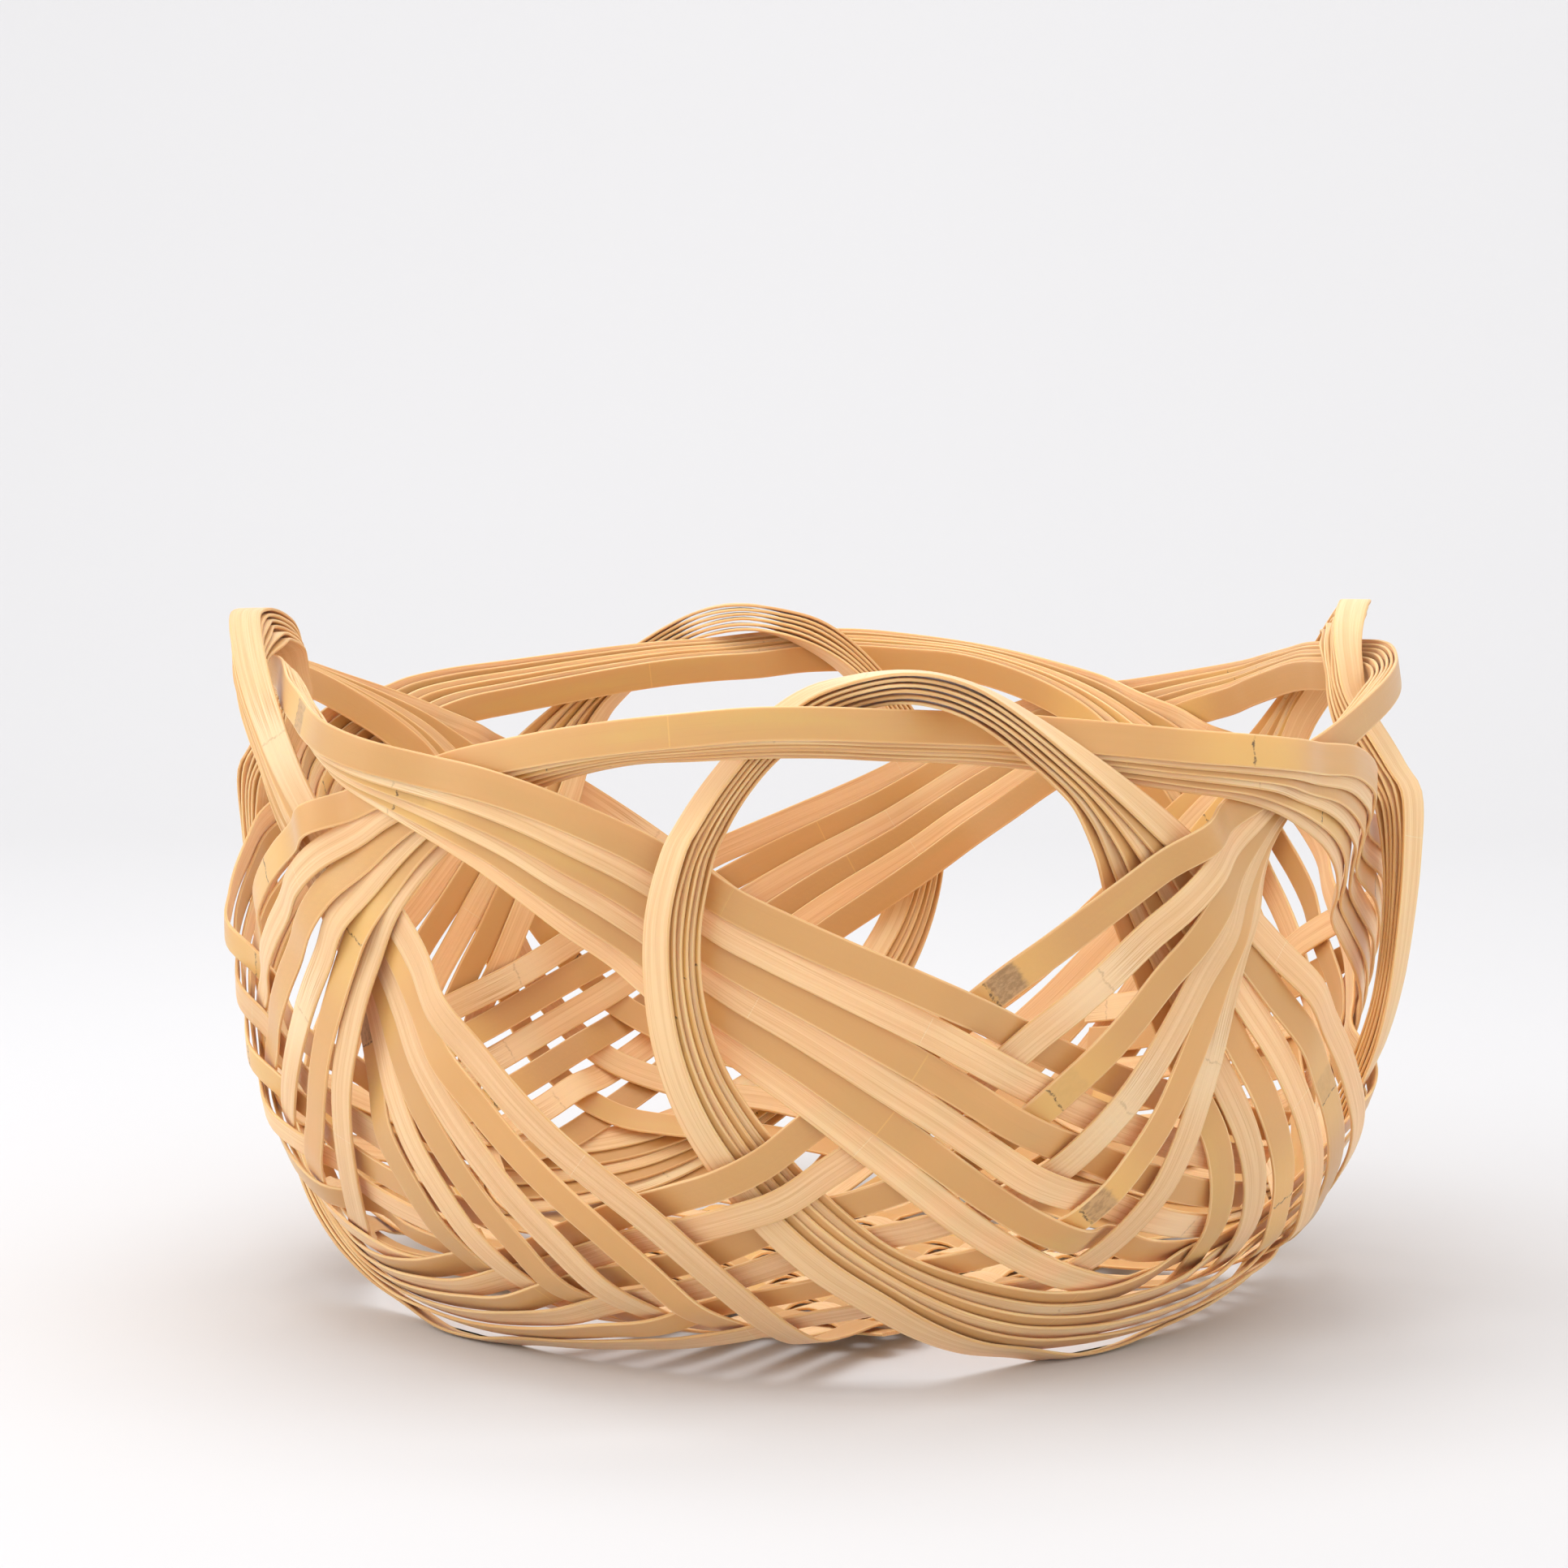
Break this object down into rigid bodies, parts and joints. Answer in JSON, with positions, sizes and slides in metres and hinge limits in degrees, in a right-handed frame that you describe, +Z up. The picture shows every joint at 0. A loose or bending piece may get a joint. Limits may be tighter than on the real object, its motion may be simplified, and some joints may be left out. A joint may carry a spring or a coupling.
{
  "type": "bamboo basket",
  "caption": "Round open bowl basket plaited from long flat bamboo strips, with a square woven base, looped wave peaks around the rim and low crossing bands that serve as feet.",
  "frame": {"origin": "centre of the bounding box at floor level, under the middle of the woven base", "axes": "+Z up; -Y towards the pictured front; the four peaks lie on -Y, +X, +Y and -X"},
  "size_m": [0.282, 0.282, 0.1649],
  "materials": {
    "bamboo_skin": "satin natural bamboo skin",
    "bamboo_inner": "matt fibrous inner side of split bamboo"
  },
  "bodies": {
    "root": {"front_wave_strip_1": "bamboo_inner", "front_wave_strip_2": "bamboo_skin", "front_wave_strip_3": "bamboo_inner", "front_wave_strip_4": "bamboo_skin", "front_wave_strip_5": "bamboo_inner", "front_wave_strip_6": "bamboo_skin", "right_wave_strip_1": "bamboo_inner", "right_wave_strip_2": "bamboo_skin", "right_wave_strip_3": "bamboo_inner", "right_wave_strip_4": "bamboo_skin", "right_wave_strip_5": "bamboo_inner", "right_wave_strip_6": "bamboo_skin", "back_wave_strip_1": "bamboo_inner", "back_wave_strip_2": "bamboo_skin", "back_wave_strip_3": "bamboo_inner", "back_wave_strip_4": "bamboo_skin", "back_wave_strip_5": "bamboo_inner", "back_wave_strip_6": "bamboo_skin", "left_wave_strip_1": "bamboo_inner", "left_wave_strip_2": "bamboo_skin", "left_wave_strip_3": "bamboo_inner", "left_wave_strip_4": "bamboo_skin", "left_wave_strip_5": "bamboo_inner", "left_wave_strip_6": "bamboo_skin"}
  },
  "joints": []
}
